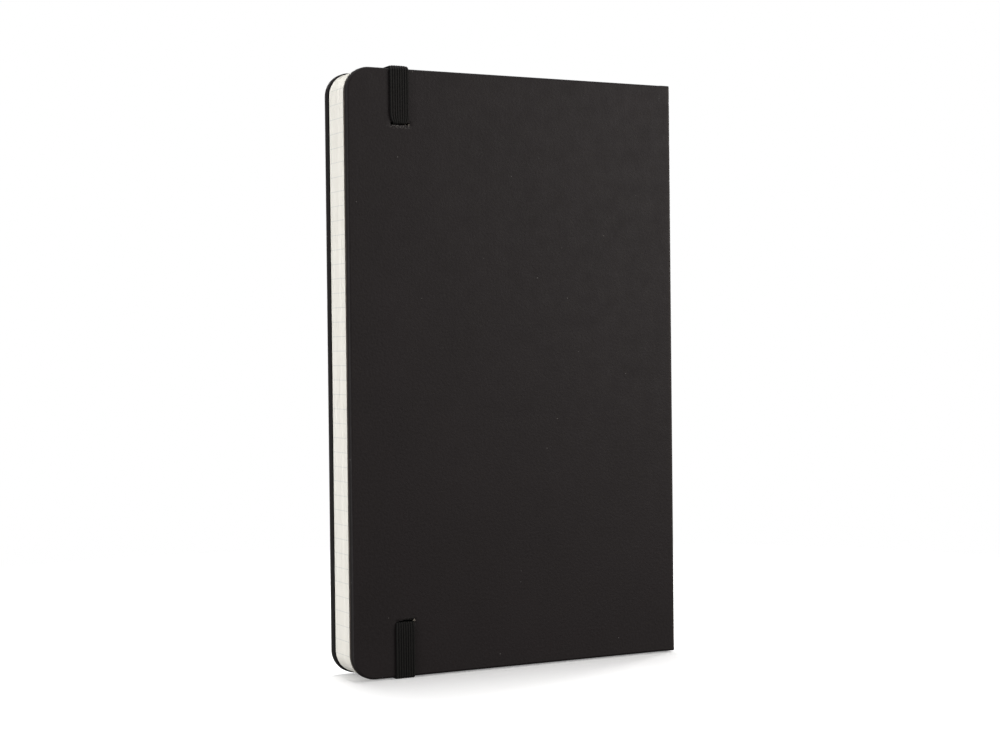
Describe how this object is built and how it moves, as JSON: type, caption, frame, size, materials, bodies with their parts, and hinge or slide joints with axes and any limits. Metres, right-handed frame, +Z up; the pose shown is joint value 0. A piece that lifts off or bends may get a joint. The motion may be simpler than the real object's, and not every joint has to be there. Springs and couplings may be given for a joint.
{
  "type": "notebook",
  "caption": "Hard-cover notebook with rounded fore-edge corners, turning covers and leaves, an elastic closure band and an inner pocket.",
  "frame": {"origin": "on the surface the closed book stands on, below the middle of its box", "axes": "+Z up along the spine, +X from the fore-edge to the spine, +Y from the back cover to the front cover"},
  "size_m": [0.13, 0.022, 0.2114],
  "materials": {
    "cover_skin": "matte, fine grain",
    "board": "grey-brown pasteboard",
    "page_paper": "uncoated ivory paper with a pale square ruling",
    "endpaper": "uncoated ivory paper",
    "elastic": "ribbed woven elastic, matte",
    "pocket_card": "uncoated ivory card",
    "gusset_cloth": "black book cloth",
    "liner_cloth": "open cotton cloth",
    "thread": "white linen thread"
  },
  "bodies": {
    "text_block": {"signature_01": "page_paper", "signature_02": "page_paper", "signature_03": "page_paper", "signature_04": "page_paper", "signature_05": "page_paper", "signature_06": "page_paper", "signature_07": "page_paper", "signature_08": "page_paper", "signature_09": "page_paper", "signature_10": "page_paper", "signature_11": "page_paper", "signature_12": "page_paper", "signature_13": "page_paper", "signature_14": "page_paper", "signature_15": "page_paper", "spine_skin": "cover_skin", "spine_board": "board", "spine_liner": "liner_cloth", "sewing_thread": "thread", "front_endpaper_hinge": "endpaper", "back_endpaper_hinge": "endpaper"},
    "front_cover": {"front_board": "board", "front_cover_skin": "cover_skin", "front_pastedown": "endpaper"},
    "back_cover": {"back_board": "board", "back_cover_skin": "cover_skin", "back_pastedown": "endpaper", "elastic_upper_leg": "elastic", "elastic_upper_bridge": "elastic", "elastic_lower_bridge": "elastic", "elastic_lower_leg": "elastic", "pocket_flange": "pocket_card", "pocket_gusset_fore": "gusset_cloth", "pocket_gusset_spine": "gusset_cloth"},
    "elastic_band": {"elastic_run": "elastic"},
    "pocket_panel": {"pocket_panel": "pocket_card"},
    "front_flyleaf": {"front_flyleaf": "endpaper"},
    "back_flyleaf": {"back_flyleaf": "endpaper"},
    "leaf_001": {"leaf_001": "page_paper"},
    "leaf_002": {"leaf_002": "page_paper"},
    "leaf_003": {"leaf_003": "page_paper"},
    "leaf_120": {"leaf_120": "page_paper"},
    "leaf_119": {"leaf_119": "page_paper"}
  },
  "joints": [
    {"name": "front_cover_open", "type": "hinge", "parent": "text_block", "child": "front_cover", "pos_m": [0.061, 0.01023, 0.1055], "axis": [0, 0, -1], "range_deg": [0, 179.5]},
    {"name": "back_cover_open", "type": "hinge", "parent": "text_block", "child": "back_cover", "pos_m": [0.061, -0.01023, 0.1055], "axis": [0, 0, 1], "range_deg": [0, 179.5]},
    {"name": "elastic_wrap", "type": "hinge", "parent": "back_cover", "child": "elastic_band", "pos_m": [-0.0455, -0.0006, 0.1055], "axis": [0, 0, 1], "range_deg": [0, 180.01], "deforming": ["elastic_run", "elastic_upper_bridge", "elastic_lower_bridge"]},
    {"name": "pocket_open", "type": "hinge", "parent": "back_cover", "child": "pocket_panel", "pos_m": [-0.003, -0.00588, 0.0065], "axis": [-1, 0, 0], "range_deg": [0, 4.01], "deforming": ["pocket_gusset_fore", "pocket_gusset_spine"]},
    {"name": "front_flyleaf_turn", "type": "hinge", "parent": "text_block", "child": "front_flyleaf", "pos_m": [0.0585, 0.00645, 0.1055], "axis": [0, 0, -1], "range_deg": [0, 108.01]},
    {"name": "leaf_001_turn", "type": "hinge", "parent": "text_block", "child": "leaf_001", "pos_m": [0.0575, 0.00631, 0.1055], "axis": [0, 0, -1], "range_deg": [0, 80.01]},
    {"name": "leaf_002_turn", "type": "hinge", "parent": "text_block", "child": "leaf_002", "pos_m": [0.0565, 0.00622, 0.1055], "axis": [0, 0, -1], "range_deg": [0, 55.01]},
    {"name": "leaf_003_turn", "type": "hinge", "parent": "text_block", "child": "leaf_003", "pos_m": [0.0555, 0.00612, 0.1055], "axis": [0, 0, -1], "range_deg": [0, 30.01]},
    {"name": "back_flyleaf_turn", "type": "hinge", "parent": "text_block", "child": "back_flyleaf", "pos_m": [0.0585, -0.00556, 0.1055], "axis": [0, 0, 1], "range_deg": [0, 100.01]},
    {"name": "leaf_120_turn", "type": "hinge", "parent": "text_block", "child": "leaf_120", "pos_m": [0.0575, -0.00541, 0.1055], "axis": [0, 0, 1], "range_deg": [0, 70.01]},
    {"name": "leaf_119_turn", "type": "hinge", "parent": "text_block", "child": "leaf_119", "pos_m": [0.0565, -0.00532, 0.1055], "axis": [0, 0, 1], "range_deg": [0, 40.01]}
  ],
  "couplings": [
    {"joint": "elastic_wrap", "follows": "front_cover_open", "ratio": 1.0028},
    {"joint": "pocket_open", "follows": "back_cover_open", "ratio": 0.022284},
    {"joint": "front_flyleaf_turn", "follows": "front_cover_open", "ratio": 0.60167},
    {"joint": "leaf_001_turn", "follows": "front_cover_open", "ratio": 0.44568},
    {"joint": "leaf_002_turn", "follows": "front_cover_open", "ratio": 0.30641},
    {"joint": "leaf_003_turn", "follows": "front_cover_open", "ratio": 0.16713},
    {"joint": "back_flyleaf_turn", "follows": "back_cover_open", "ratio": 0.5571},
    {"joint": "leaf_120_turn", "follows": "back_cover_open", "ratio": 0.38997},
    {"joint": "leaf_119_turn", "follows": "back_cover_open", "ratio": 0.22284}
  ]
}
